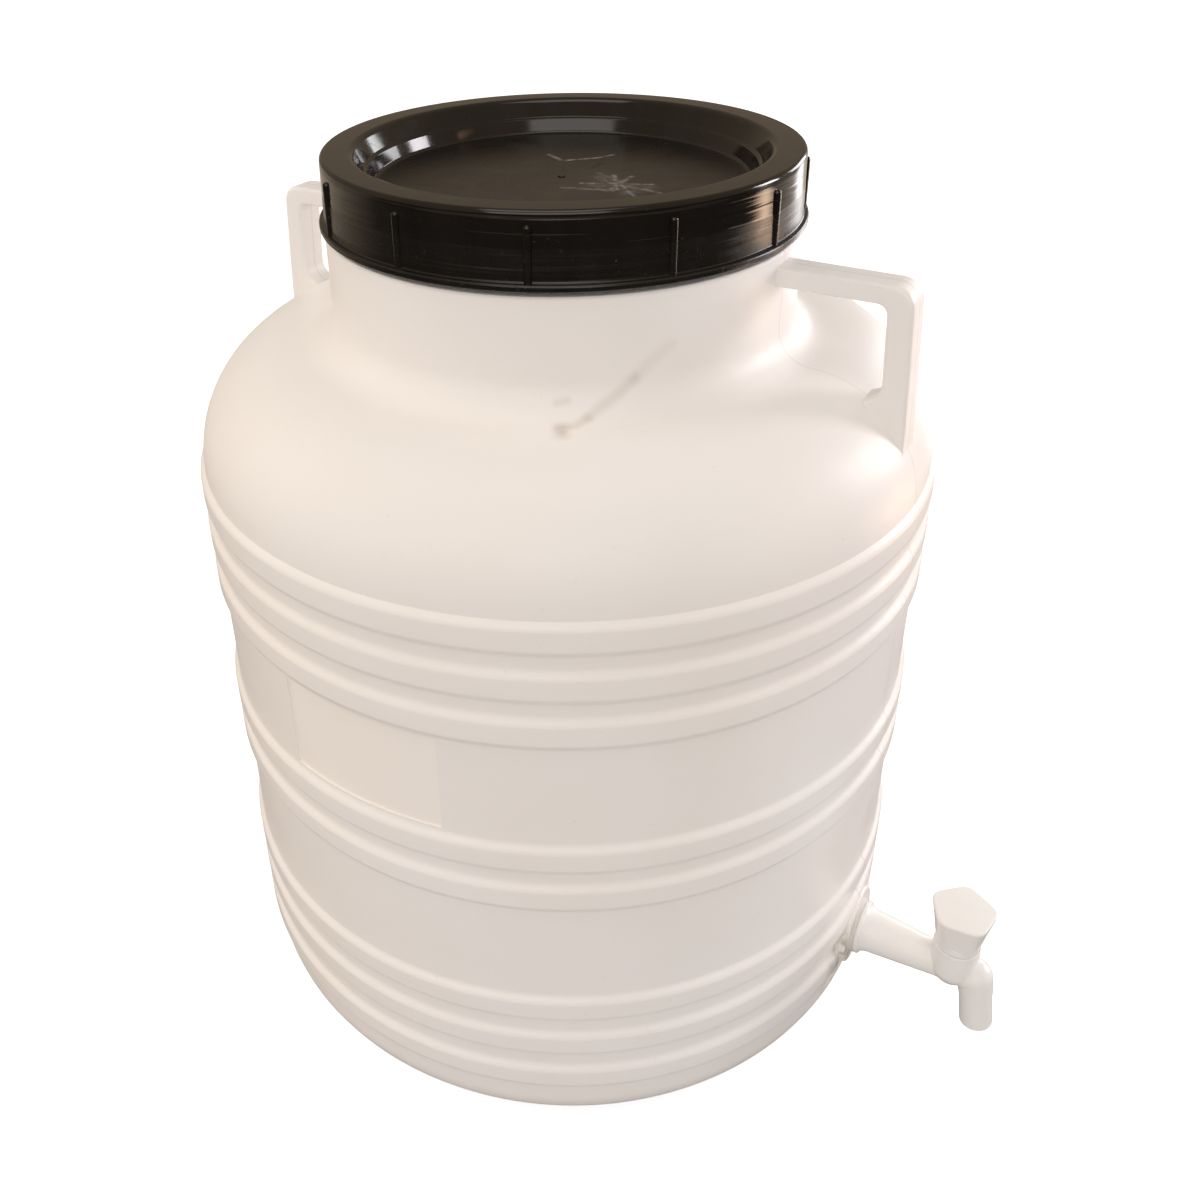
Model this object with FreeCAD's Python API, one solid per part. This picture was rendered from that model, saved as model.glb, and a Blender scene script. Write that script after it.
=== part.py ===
import FreeCAD, Part
import math
import os

# A thirty litre wide-mouth drum with two moulded handles, a black screw lid and a plug tap.
# Millimetres. +Z is up, the origin is the centre of the base, and the handles lie along X.
# The tap points along +X, under one handle, and the label panel faces -Y.

# Drum body, from the base up
crest_radius = 178.0
rib_depth = 2.5
rib_height = 16.0
wall = 2.2
base_corner_radius = 22.0
rib_start = 31.2
lower_rib_count = 3
lower_rib_pitch = 24.2
lower_band = 56.1
middle_rib_count = 2
middle_rib_pitch = 22.6
upper_band = 52.7
upper_rib_count = 3
upper_rib_pitch = 23.0
shoulder_radius = 52.0
neck_fillet = 15.5
neck_height = 34.5
neck_edge = 1.5
inner_shoulder_steps = 3

# Mouth, inside the lid
finish_step = 7.5
finish_height = 28.4
lip_edge = 0.8

# Label panel, a shallow recess between the upper and middle ribs
panel_width = 80.0
panel_depth = 0.9
panel_margin = 2.0
panel_corner = 5.0

# Handles, one on each side
handle_width = 16.0
handle_drop = 5.0
handle_bar = 9.0
handle_inset = 12.5
handle_lean = 4.0
handle_post = 10.9
handle_post_foot = 11.6
handle_corner = 9.0
handle_web = 6.5
handle_rise = 13.0
window_corner = 4.0
window_foot_corner = 8.0
handle_edge = 1.6

# Lid
lid_wall = 2.4
thread_gap = 4.3
recess_gap = 2.9
lid_height = 31.1
lid_edge = 1.0
lid_flange_reach = 2.8
lid_flange_height = 3.0
recess_slope = 4.5
recess_depth = 8.8
ledge_width = 1.5
floor_slope = 2.5
floor_depth = 6.9
grip_count = 12
grip_start = -36.0
grip_radius = 1.75
grip_top_gap = 5.5
grip_slope = 1.5
grip_tip_radius = 0.6
gate_radius = 1.8
gate_height = 0.6

# Lid gasket
gasket_thickness = 2.5
gasket_gap = 0.5

# Tap
tap_height = 46.8
tap_seat_proud = 1.2
shank_radius = 10.4
shank_clearance = 0.1
shank_length = 20.0
collar_radius = 14.0
collar_thickness = 2.5
washer_thickness = 2.0
flare_radius = 12.8
flare_length = 4.0
tube_root_radius = 11.2
tube_taper_length = 33.5
tube_radius = 8.6
tap_bore = 5.5
bore_past_elbow = 5.0
plug_reach = 49.8
barrel_radius = 11.5
barrel_foot_radius = 7.0
barrel_below = 7.4
barrel_floor = 1.1
barrel_above = 17.5
spout_reach = 61.3
spout_stop = 9.5
spout_radius = 8.1
spout_bore = 5.0
spout_length = 31.5
spout_edge = 0.8
spout_lean = 9.0
nut_across_flats = 28.0
nut_thickness = 7.0
seat_clearance = 2.0

# Plug and knob
plug_top_radius = 7.6
plug_taper = 2.4
plug_clearance = 0.05
plug_floor_gap = 0.3
plug_port = 4.4
plug_head_radius = 9.6
plug_head_height = 1.6
stem_width = 8.0
stem_height = 13.0
stem_clearance = 0.05
knob_sides = 5
knob_turn = 25.0
knob_bottom_radius = 12.2
knob_top_radius = 16.4
knob_height = 19.5
knob_collar_height = 2.0
knob_collar_radius = 11.2
knob_gap = 0.3
knob_edge = 1.2
knob_corner = 8.0


# Sizes that follow
def rib_feet():
    feet = [rib_start + i * lower_rib_pitch for i in range(lower_rib_count)]
    start = feet[-1] + rib_height + lower_band
    feet += [start + i * middle_rib_pitch for i in range(middle_rib_count)]
    start = feet[-1] + rib_height + upper_band
    feet += [start + i * upper_rib_pitch for i in range(upper_rib_count)]
    return feet


band_radius = crest_radius - rib_depth
shoulder_start = rib_feet()[-1] + rib_height
shoulder_centre = band_radius - shoulder_radius
shoulder_top = shoulder_start + shoulder_radius
neck_radius = shoulder_centre - neck_fillet
neck_top = shoulder_top + neck_fillet + neck_height
finish_radius = neck_radius - finish_step
lip_bore = finish_radius - wall
lip_height = neck_top + finish_height
panel_foot = rib_feet()[lower_rib_count + middle_rib_count - 1] + rib_height + panel_margin
panel_top = rib_feet()[lower_rib_count + middle_rib_count] - panel_margin
handle_top = neck_top - handle_drop
handle_reach = crest_radius - handle_inset
handle_floor = shoulder_top - handle_web
handle_foot = shoulder_start + handle_rise
skirt_inner = finish_radius + thread_gap
skirt_radius = skirt_inner + lid_wall
rim_radius = lip_bore - recess_gap - lid_wall
lid_bottom = lip_height + gasket_thickness + lid_wall - lid_height
lid_top = lid_bottom + lid_height
tap_face = crest_radius + tap_seat_proud
tap_inner_face = tap_face - wall
nut_radius = nut_across_flats / 2.0 / math.cos(math.pi / 6.0)
pocket_radius = nut_radius + seat_clearance
seat_radius = pocket_radius + wall
plug_offset = tap_face + plug_reach
spout_offset = tap_face + spout_reach
barrel_top = tap_height + barrel_above
barrel_bottom = tap_height - barrel_below
pocket_floor = barrel_bottom + barrel_floor
plug_foot = pocket_floor + plug_floor_gap


def point(r, z):
    return FreeCAD.Vector(r, 0, z)


def vertical(x, y, z):
    return FreeCAD.Vector(x, y, z)


UP = FreeCAD.Vector(0, 0, 1)
OUT = FreeCAD.Vector(1, 0, 0)
CENTRE = FreeCAD.Vector(0, 0, 0)


# An outline in the XZ plane, drawn point by point
class Outline:
    def __init__(self, r, z):
        self.start = point(r, z)
        self.last = self.start
        self.edges = []

    def line(self, r, z):
        end = point(r, z)
        self.edges.append(Part.LineSegment(self.last, end).toShape())
        self.last = end
        return self

    def arc(self, centre_r, centre_z, r, z):
        end = point(r, z)
        centre = point(centre_r, centre_z)
        spread = (self.last - centre) + (end - centre)
        middle = centre + spread.normalize() * (self.last - centre).Length
        self.edges.append(Part.Arc(self.last, middle, end).toShape())
        self.last = end
        return self

    def face(self):
        self.edges.append(Part.LineSegment(self.last, self.start).toShape())
        return Part.Face(Part.Wire(self.edges))

    def turned(self):
        return self.face().revolve(CENTRE, UP, 360.0)


# The side wall's ribs, from the lowest to the highest
def add_ribs(outline):
    for foot in rib_feet():
        top = foot + rib_height
        outline.line(band_radius, foot)
        outline.line(crest_radius, foot + rib_depth)
        outline.line(crest_radius, top - rib_depth)
        outline.line(band_radius, top)


def drum_outside():
    corner = band_radius - base_corner_radius
    outline = Outline(0, 0)
    outline.line(corner, 0)
    outline.arc(corner, base_corner_radius, band_radius, base_corner_radius)
    add_ribs(outline)
    outline.arc(shoulder_centre, shoulder_start, shoulder_centre, shoulder_top)
    outline.arc(shoulder_centre, shoulder_top + neck_fillet, neck_radius, shoulder_top + neck_fillet)
    outline.line(neck_radius, neck_top - neck_edge)
    outline.line(neck_radius - neck_edge, neck_top)
    outline.line(finish_radius, neck_top)
    outline.line(finish_radius, lip_height - lip_edge)
    outline.line(finish_radius - lip_edge, lip_height)
    outline.line(0, lip_height)
    return outline.turned()


# The inside, plain behind the ribs, with the wall's depth kept at each corner
def drum_inside():
    corner = band_radius - base_corner_radius
    inside = band_radius - wall
    base_arc = base_corner_radius - wall
    top_arc = shoulder_radius - wall
    inner_fillet = neck_fillet + wall
    inner_neck = neck_radius - wall
    tangent = inner_fillet * math.tan(math.pi / 8.0)
    diagonal = math.sqrt(0.5)
    ceiling = shoulder_top - wall
    finish_start = neck_top - wall
    outline = Outline(0, wall)
    outline.line(corner, wall)
    outline.line(corner + base_arc * diagonal, base_corner_radius - base_arc * diagonal)
    outline.line(inside, base_corner_radius)
    outline.line(inside, shoulder_start)
    for step in range(1, inner_shoulder_steps):
        angle = math.radians(90.0 * step / inner_shoulder_steps)
        across = top_arc * math.cos(angle)
        outline.line(shoulder_centre + across, shoulder_start + top_arc * math.sin(angle))
    outline.line(shoulder_centre, ceiling)
    outline.line(inner_neck + inner_fillet - tangent, ceiling)
    outline.line(inner_neck, ceiling + inner_fillet - tangent)
    outline.line(inner_neck, finish_start - wall)
    outline.line(lip_bore, finish_start)
    outline.line(lip_bore, lip_height)
    outline.line(0, lip_height)
    return outline.turned()


# One handle: a flat web with a finger window, its outer edges taken off
def handle():
    top_reach = handle_reach
    foot_reach = handle_reach + handle_lean
    inner = finish_radius
    outline = Outline(inner, handle_foot)
    outline.line(foot_reach, handle_foot)
    lean_angle = math.atan2(handle_lean, handle_top - handle_foot)
    corner_centre_r = top_reach - handle_corner
    corner_centre_z = handle_top - handle_corner
    start_r = corner_centre_r + handle_corner * math.cos(lean_angle)
    start_z = corner_centre_z + handle_corner * math.sin(lean_angle)
    outline.line(start_r, start_z)
    outline.arc(corner_centre_r, corner_centre_z, corner_centre_r, handle_top)
    outline.line(inner, handle_top)
    web = outline.face().extrude(FreeCAD.Vector(0, handle_width, 0))
    web.translate(FreeCAD.Vector(0, -handle_width / 2.0, 0))
    outer_edges = [e for e in web.Edges if lies_on_side(e)]
    web = web.makeChamfer(handle_edge, outer_edges)
    return web.cut(handle_window())


# The long outer edges of a handle's web, along its top, corner and outer face
def lies_on_side(edge):
    box = edge.BoundBox
    in_plane = box.YLength < 0.01
    outer = box.XMax > handle_reach - handle_corner - 0.1 and box.ZMax > handle_foot + 1.0
    return in_plane and outer


def handle_window():
    window_top = handle_top - handle_bar
    post = handle_reach - handle_post
    lean_share = (handle_top - handle_floor) / (handle_top - handle_foot)
    post_foot = handle_reach + handle_lean * lean_share - handle_post_foot
    inner = neck_radius - wall
    outline = Outline(inner, handle_floor)
    round_start = post_foot - window_foot_corner
    outline.line(round_start, handle_floor)
    outline.arc(round_start, handle_floor + window_foot_corner, post_foot, handle_floor + window_foot_corner)
    outline.line(post, window_top - window_corner)
    outline.arc(post - window_corner, window_top - window_corner, post - window_corner, window_top)
    outline.line(inner, window_top)
    opening = outline.face().extrude(FreeCAD.Vector(0, handle_width * 2.0, 0))
    opening.translate(FreeCAD.Vector(0, -handle_width, 0))
    return opening


# The recess for a label, sunk into the band between two groups of ribs
def label_panel():
    height = panel_top - panel_foot
    outer = Part.makeCylinder(crest_radius, height, vertical(0, 0, panel_foot))
    core = Part.makeCylinder(band_radius - panel_depth, height, vertical(0, 0, panel_foot))
    corner = vertical(-panel_width / 2.0, -crest_radius - wall, panel_foot)
    block = Part.makeBox(panel_width, crest_radius, height, corner)
    across = [e for e in block.Edges if e.BoundBox.YLength > wall]
    block = block.makeFillet(panel_corner, across)
    return block.common(outer.cut(core))


def tap_axis_point(x):
    return FreeCAD.Vector(x, 0, tap_height)


# A flat round seat for the tap, with its pocket inside for the nut, and the hole through it
def tap_seat():
    depth = tap_face - crest_radius + 4.0 * wall
    return Part.makeCylinder(seat_radius, depth, tap_axis_point(tap_face - depth), OUT)


def tap_pocket():
    depth = 5.0 * wall
    return Part.makeCylinder(pocket_radius, depth, tap_axis_point(tap_inner_face - depth), OUT)


def tap_hole():
    hole = shank_radius + shank_clearance
    return Part.makeCylinder(hole, 4.0 * wall, tap_axis_point(tap_face - 3.0 * wall), OUT)


def drum_body():
    right = handle()
    left = right.copy()
    left.rotate(CENTRE, UP, 180.0)
    shell = drum_outside().fuse([right, left, tap_seat()])
    body = shell.cut([drum_inside(), tap_pocket(), tap_hole(), label_panel()])
    return body.removeSplitter()


# Upright grips round the lid, each a half-round bar with a sloped top
def lid_grips():
    grips = []
    foot = lid_bottom + lid_flange_height / 2.0
    height = lid_height - lid_flange_height / 2.0 - grip_top_gap - grip_slope
    for i in range(grip_count):
        angle = math.radians(grip_start + i * 360.0 / grip_count)
        x = skirt_radius * math.cos(angle)
        y = skirt_radius * math.sin(angle)
        bar = Part.makeCylinder(grip_radius, height, vertical(x, y, foot))
        top = Part.makeCone(grip_radius, grip_tip_radius, grip_slope, vertical(x, y, foot + height))
        grips.append(bar.fuse(top))
    return grips


def lid():
    flange_top = lid_bottom + lid_flange_height
    flange_radius = skirt_radius + lid_flange_reach
    ledge_outer = rim_radius - recess_slope
    ledge_inner = ledge_outer - ledge_width
    floor_radius = ledge_inner - floor_slope
    ledge_height = lid_top - recess_depth
    floor_height = ledge_height - floor_depth
    underside = floor_height - lid_wall
    outline = Outline(0, floor_height)
    outline.line(floor_radius, floor_height)
    outline.line(ledge_inner, ledge_height)
    outline.line(ledge_outer, ledge_height)
    outline.line(rim_radius, lid_top)
    outline.line(skirt_radius - lid_edge, lid_top)
    outline.line(skirt_radius, lid_top - lid_edge)
    outline.line(skirt_radius, flange_top)
    outline.line(flange_radius, flange_top)
    outline.line(flange_radius, lid_bottom)
    outline.line(skirt_inner, lid_bottom)
    outline.line(skirt_inner, lid_top - lid_wall)
    outline.line(rim_radius + lid_wall, lid_top - lid_wall)
    outline.line(floor_radius + lid_wall, underside)
    outline.line(0, underside)
    gate = Part.makeCylinder(gate_radius, gate_height, vertical(0, 0, floor_height))
    shape = outline.turned().fuse(lid_grips() + [gate])
    return shape.removeSplitter()


def ring(outer, inner, height, start, direction):
    return Part.makeCylinder(outer, height, start, direction).cut(
        Part.makeCylinder(inner, height, start, direction)
    )


def lid_gasket():
    outer = skirt_inner - gasket_gap
    inner = rim_radius + lid_wall + gasket_gap
    return ring(outer, inner, gasket_thickness, vertical(0, 0, lip_height), UP)


# The plug's radius at a height in the barrel, and a cone between two heights with that taper
def plug_radius(height):
    return plug_top_radius - plug_taper * (barrel_top - height) / (barrel_top - plug_foot)


def tapered(bottom, gap):
    start = vertical(plug_offset, 0, bottom)
    return Part.makeCone(plug_radius(bottom) + gap, plug_top_radius + gap, barrel_top - bottom, start)


def spout_direction():
    lean = math.radians(spout_lean)
    return FreeCAD.Vector(math.sin(lean), 0, -math.cos(lean))


# The tap's spout: a thicker start under the elbow, where a hose stops, then the plain spout
def tap_spout(elbow, down):
    plain_end = spout_length - spout_edge
    return [
        Part.makeSphere(tube_radius, elbow),
        Part.makeCylinder(tube_radius, spout_stop, elbow, down),
        Part.makeCylinder(spout_radius, plain_end, elbow, down),
        Part.makeCone(spout_radius, spout_radius - spout_edge, spout_edge, elbow + down * plain_end, down),
    ]


# The tap's body: shank, collar, tapered tube, plug barrel with a closed foot, elbow and spout
def tap_body():
    collar_face = tap_face + washer_thickness
    flare_start = collar_face + collar_thickness
    tube_start = flare_start + flare_length
    tube_plain = tube_start + tube_taper_length
    shank_start = tap_inner_face - shank_length
    elbow = tap_axis_point(spout_offset)
    down = spout_direction()
    barrel_foot = vertical(plug_offset, 0, barrel_bottom)
    pieces = [
        Part.makeCylinder(collar_radius, collar_thickness, tap_axis_point(collar_face), OUT),
        Part.makeCone(flare_radius, tube_root_radius, flare_length, tap_axis_point(flare_start), OUT),
        Part.makeCone(tube_root_radius, tube_radius, tube_taper_length, tap_axis_point(tube_start), OUT),
        Part.makeCylinder(tube_radius, spout_offset - tube_plain, tap_axis_point(tube_plain), OUT),
        Part.makeCylinder(barrel_radius, barrel_above, vertical(plug_offset, 0, tap_height)),
        Part.makeCone(barrel_foot_radius, barrel_radius, barrel_below, barrel_foot),
    ]
    shank = Part.makeCylinder(shank_radius, collar_face - shank_start, tap_axis_point(shank_start), OUT)
    outside = shank.fuse(pieces + tap_spout(elbow, down))
    bore_length = spout_offset + bore_past_elbow - shank_start
    ways = [
        tapered(pocket_floor, plug_clearance),
        Part.makeCylinder(tap_bore, bore_length, tap_axis_point(shank_start), OUT),
        Part.makeCylinder(spout_bore, spout_length, elbow, down),
    ]
    return outside.cut(ways).removeSplitter()


# The tapered plug, its cross hole turned away from the flow, with its head and square stem
def tap_plug():
    cone = tapered(plug_foot, 0.0)
    head = Part.makeCylinder(plug_head_radius, plug_head_height, vertical(plug_offset, 0, barrel_top))
    half = stem_width / 2.0
    stem_start = barrel_top + plug_head_height
    stem_corner = vertical(plug_offset - half, -half, stem_start)
    stem = Part.makeBox(stem_width, stem_width, stem_height, stem_corner)
    port = Part.makeCylinder(
        plug_port,
        4.0 * plug_top_radius,
        vertical(plug_offset, -2.0 * plug_top_radius, tap_height),
        FreeCAD.Vector(0, 1, 0),
    )
    return cone.fuse([head, stem]).cut(port).removeSplitter()


# The corners of a five-sided outline, each cut back by a short flat
def pentagon(radius, z):
    corners = []
    for i in range(knob_sides):
        angle = knob_turn + i * 360.0 / knob_sides
        for side in (-knob_corner, knob_corner):
            direction = math.radians(angle + side)
            x = plug_offset + radius * math.cos(direction)
            y = radius * math.sin(direction)
            corners.append(vertical(x, y, z))
    return corners


def flat_face(corners):
    return Part.Face(Part.makePolygon(corners + [corners[0]]))


# A solid with flat sides through a stack of outlines
def stacked(outlines):
    faces = [flat_face(outlines[0]), flat_face(outlines[-1])]
    for lower, upper in zip(outlines, outlines[1:]):
        for i in range(len(lower)):
            j = (i + 1) % len(lower)
            faces.append(flat_face([lower[i], lower[j], upper[j], upper[i]]))
    solid = Part.Solid(Part.Shell(faces))
    return solid


# The knob: a flared five-sided grip on a round collar, with a square socket for the stem
def tap_knob():
    collar_start = barrel_top + knob_gap
    grip_start = barrel_top + plug_head_height + knob_collar_height
    grip_top = grip_start + knob_height
    lower = pentagon(knob_bottom_radius, grip_start)
    upper = pentagon(knob_top_radius, grip_top - knob_edge)
    rim = pentagon(knob_top_radius - knob_edge, grip_top)
    grip = stacked([lower, upper, rim])
    collar_foot = vertical(plug_offset, 0, collar_start)
    collar = Part.makeCylinder(knob_collar_radius, grip_start - collar_start, collar_foot)
    half = stem_width / 2.0 + stem_clearance
    stem_start = barrel_top + plug_head_height
    socket_corner = vertical(plug_offset - half, -half, stem_start)
    socket = Part.makeBox(2.0 * half, 2.0 * half, stem_height, socket_corner)
    head_hole = plug_head_radius + stem_clearance
    head = Part.makeCylinder(head_hole, plug_head_height, vertical(plug_offset, 0, barrel_top))
    return grip.fuse(collar).cut([socket, head]).removeSplitter()


def tap_outer_gasket():
    inner = shank_radius + shank_clearance
    return ring(collar_radius, inner, washer_thickness, tap_axis_point(tap_face), OUT)


def tap_inner_gasket():
    inner = shank_radius + shank_clearance
    start = tap_axis_point(tap_inner_face - washer_thickness)
    return ring(nut_across_flats / 2.0, inner, washer_thickness, start, OUT)


def tap_lock_nut():
    start = tap_inner_face - washer_thickness - nut_thickness
    corners = []
    for i in range(7):
        angle = math.radians(60.0 * i)
        y = nut_radius * math.cos(angle)
        z = tap_height + nut_radius * math.sin(angle)
        corners.append(FreeCAD.Vector(start, y, z))
    hexagon = Part.Face(Part.makePolygon(corners)).extrude(OUT * nut_thickness)
    hole = Part.makeCylinder(shank_radius + shank_clearance, nut_thickness, tap_axis_point(start), OUT)
    return hexagon.cut(hole)


def save(name, shape):
    shape.exportStep("parts/" + name + ".step")


os.makedirs("parts", exist_ok=True)
save("drum_body", drum_body())
save("lid", lid())
save("lid_gasket", lid_gasket())
save("tap_body", tap_body())
save("tap_plug", tap_plug())
save("tap_knob", tap_knob())
save("tap_outer_gasket", tap_outer_gasket())
save("tap_inner_gasket", tap_inner_gasket())
save("tap_lock_nut", tap_lock_nut())
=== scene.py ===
import math

import bmesh
import bpy
from mathutils import Matrix, Vector


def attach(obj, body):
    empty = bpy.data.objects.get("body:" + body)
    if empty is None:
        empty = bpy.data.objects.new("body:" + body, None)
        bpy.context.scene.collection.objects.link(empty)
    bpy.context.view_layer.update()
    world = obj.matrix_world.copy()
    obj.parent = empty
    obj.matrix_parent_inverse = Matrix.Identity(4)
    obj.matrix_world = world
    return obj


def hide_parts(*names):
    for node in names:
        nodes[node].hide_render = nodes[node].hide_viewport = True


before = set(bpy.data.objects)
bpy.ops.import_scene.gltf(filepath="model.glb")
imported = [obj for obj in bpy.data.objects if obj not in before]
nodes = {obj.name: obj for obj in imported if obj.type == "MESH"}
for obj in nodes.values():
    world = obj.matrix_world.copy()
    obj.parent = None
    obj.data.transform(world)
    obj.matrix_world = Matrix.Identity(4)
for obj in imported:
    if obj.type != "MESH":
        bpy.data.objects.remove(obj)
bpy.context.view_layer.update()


# The camera, at the height and turn from which the drum was photographed
camera_at = (0.2768, -0.4596, 0.5661)
camera_aim = (-0.4783, 0.7319, -0.4853)
camera_roll = -1.583
focal_length = 35.757
picture_shift = (0.0612, -0.1001)


def place_camera():
    forward = Vector(camera_aim).normalized()
    level = forward.cross(Vector((0, 0, 1))).normalized()
    upright = level.cross(forward).normalized()
    roll = math.radians(camera_roll)
    right = level * math.cos(roll) + upright * math.sin(roll)
    up = upright * math.cos(roll) - level * math.sin(roll)
    lens = bpy.data.cameras.new("photo_camera")
    lens.sensor_width = 36.0
    lens.lens = focal_length
    lens.shift_x, lens.shift_y = picture_shift
    lens.clip_start = 0.01
    camera = bpy.data.objects.new("photo_camera", lens)
    bpy.context.scene.collection.objects.link(camera)
    turn = Matrix((right, up, -forward)).transposed()
    camera.matrix_world = Matrix.Translation(camera_at) @ turn.to_4x4()
    bpy.context.scene.camera = camera


place_camera()

# Sizes in metres, as the drum's solids have them: radii over the ribs and between them, the wall and the ribs
crest = 0.178
band = 0.1755
wall = 0.0022
rib_height = 0.016
rib_depth = 0.0025
rib_tops = (0.0472, 0.0714, 0.0956, 0.1677, 0.1903, 0.259, 0.282, 0.305)
rib_foot_round = 0.0012
rib_crest_round = 0.0015
base_corner = 0.022
base_rise = 0.0016
floor_top = 0.0038
shoulder_start = 0.305
shoulder_radius = 0.052
neck = 0.108
neck_top = 0.407
finish = 0.1005
lip = 0.4354
handle_half = 0.008
handle_edge = 0.0022
tap_height = 0.0468
spin_steps = 224
thread_lead = 0.012
full_circle = math.tau
same_place = 5e-6


# Modelling helpers
def begin(name, first):
    bpy.ops.object.select_all(action="DESELECT")
    bpy.ops.mesh.primitive_plane_add(size=0.001, location=(0, 0, 0))
    piece = bpy.context.object
    piece.name = name
    piece.data.name = name
    bpy.ops.object.mode_set(mode="EDIT")
    bpy.ops.mesh.select_mode(type="VERT")
    bpy.ops.mesh.select_all(action="SELECT")
    bpy.ops.mesh.merge(type="CENTER")
    bpy.ops.transform.translate(value=first)
    return piece


def trace(name, points):
    piece = begin(name, points[0])
    last = Vector(points[0])
    for spot in points[1:]:
        step = Vector(spot) - last
        bpy.ops.mesh.extrude_vertices_move(TRANSFORM_OT_translate={"value": step})
        last = Vector(spot)
    return piece


def section(points):
    return [(r, 0.0, z) for r, z in points]


def pick_points(piece, test):
    bpy.ops.mesh.select_all(action="DESELECT")
    bpy.ops.mesh.select_mode(type="VERT")
    mesh = bmesh.from_edit_mesh(piece.data)
    for spot in mesh.verts:
        spot.select_set(test(spot.co))
    mesh.select_flush_mode()
    bmesh.update_edit_mesh(piece.data)


def pick_edges(piece, test):
    bpy.ops.mesh.select_all(action="DESELECT")
    bpy.ops.mesh.select_mode(type="EDGE")
    mesh = bmesh.from_edit_mesh(piece.data)
    for edge in mesh.edges:
        if test(edge.verts[0].co, edge.verts[1].co, edge):
            edge.select_set(True)
    bmesh.update_edit_mesh(piece.data)


def round_corner(piece, r, z, size, segments=3):
    pick_points(piece, lambda p: abs(p.x - r) < 2e-5 and abs(p.z - z) < 2e-5)
    bpy.ops.mesh.bevel(offset=size, offset_type="OFFSET", segments=segments, affect="VERTICES")


def round_corners(piece, corners, segments=3):
    for r, z, size in corners:
        round_corner(piece, r, z, size, segments)


def close_up(gap=1e-6):
    bpy.ops.mesh.select_all(action="SELECT")
    bpy.ops.mesh.remove_doubles(threshold=gap)
    bpy.ops.mesh.normals_make_consistent(inside=False)


def turn_round(steps):
    bpy.ops.mesh.select_all(action="SELECT")
    bpy.ops.mesh.spin(steps=steps, angle=full_circle, center=(0, 0, 0), axis=(0, 0, 1))
    close_up()


def thicken(step):
    bpy.ops.mesh.select_all(action="SELECT")
    bpy.ops.mesh.extrude_region_move(TRANSFORM_OT_translate={"value": step})
    close_up()


def fill_outline():
    bpy.ops.mesh.select_all(action="SELECT")
    bpy.ops.mesh.edge_face_add()


def done(piece):
    bpy.ops.object.mode_set(mode="OBJECT")
    return piece


def only(piece):
    bpy.ops.object.select_all(action="DESELECT")
    piece.select_set(True)
    bpy.context.view_layer.objects.active = piece


def apply_step(piece, kind, **settings):
    only(piece)
    step = piece.modifiers.new(kind.lower(), kind)
    for key, value in settings.items():
        setattr(step, key, value)
    bpy.ops.object.modifier_apply(modifier=step.name)


def combine(piece, other, way):
    apply_step(piece, "BOOLEAN", operation=way, object=other, solver="EXACT")
    bpy.data.objects.remove(other)
    only(piece)
    bpy.ops.object.mode_set(mode="EDIT")
    bpy.ops.mesh.select_all(action="SELECT")
    bpy.ops.mesh.remove_doubles(threshold=same_place)
    bpy.ops.mesh.dissolve_degenerate(threshold=same_place)
    bpy.ops.object.mode_set(mode="OBJECT")


def smooth(piece, angle):
    only(piece)
    bpy.ops.object.shade_smooth_by_angle(angle=math.radians(angle))
    apply_step(piece, "WEIGHTED_NORMAL", keep_sharp=True, weight=50)


def merge_pieces(piece, others):
    only(piece)
    for other in others:
        other.select_set(True)
    bpy.ops.object.join()


def own_copy(piece, turn):
    other = piece.copy()
    other.data = piece.data.copy()
    bpy.context.scene.collection.objects.link(other)
    other.data.transform(turn)
    return other


def paint(piece, material):
    piece.data.materials.clear()
    piece.data.materials.append(material)


def hand_in(piece, body, node_name=None):
    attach(piece, body)
    if node_name:
        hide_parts(node_name)
    return piece


# A turned shape about Z, from a profile of radii and heights that starts and ends on the axis
def turned(name, profile, corners=(), steps=64, segments=3):
    piece = trace(name, section(profile))
    round_corners(piece, corners, segments)
    turn_round(steps)
    return done(piece)


# Lays a shape that was turned about Z along another direction
def lay(piece, start, direction):
    aim = Vector(direction).normalized().to_track_quat("Z", "Y").to_matrix().to_4x4()
    piece.data.transform(Matrix.Translation(start) @ aim)
    return piece


def bar_profile(radius, length):
    return [(0, 0), (radius, 0), (radius, length), (0, length)]


def round_bar(name, start, direction, radius, length, steps=64, edge=0.0):
    corners = [(radius, 0, edge), (radius, length, edge)] if edge else []
    piece = turned(name, bar_profile(radius, length), corners, steps)
    return lay(piece, start, direction)


# Points of an arc in a profile
def arc(centre_r, centre_z, radius, start, end, count):
    points = []
    for i in range(count + 1):
        angle = math.radians(start + (end - start) * i / count)
        points.append((centre_r + radius * math.cos(angle), centre_z + radius * math.sin(angle)))
    return points


# Drum: one blown shell with ribs, panel, shoulder, neck and both handles
def drum_profile():
    corner = band - base_corner
    points = [(0, base_rise), (corner - 0.034, base_rise), (corner - 0.028, 0.0), (corner, 0.0)]
    points += arc(corner, base_corner, base_corner, -90, 0, 10)[1:]
    for top in rib_tops:
        foot = top - rib_height
        points += [(band, foot), (crest, foot + rib_depth), (crest, top - rib_depth), (band, top)]
    shoulder_centre = band - shoulder_radius
    points += arc(shoulder_centre, shoulder_start, shoulder_radius, 0, 90, 20)[1:]
    fillet = shoulder_centre - neck
    points += arc(shoulder_centre, shoulder_start + shoulder_radius + fillet, fillet, -90, -180, 9)[1:]
    points += [(neck, neck_top), (finish, neck_top), (finish, lip), (0, lip)]
    return points


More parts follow.
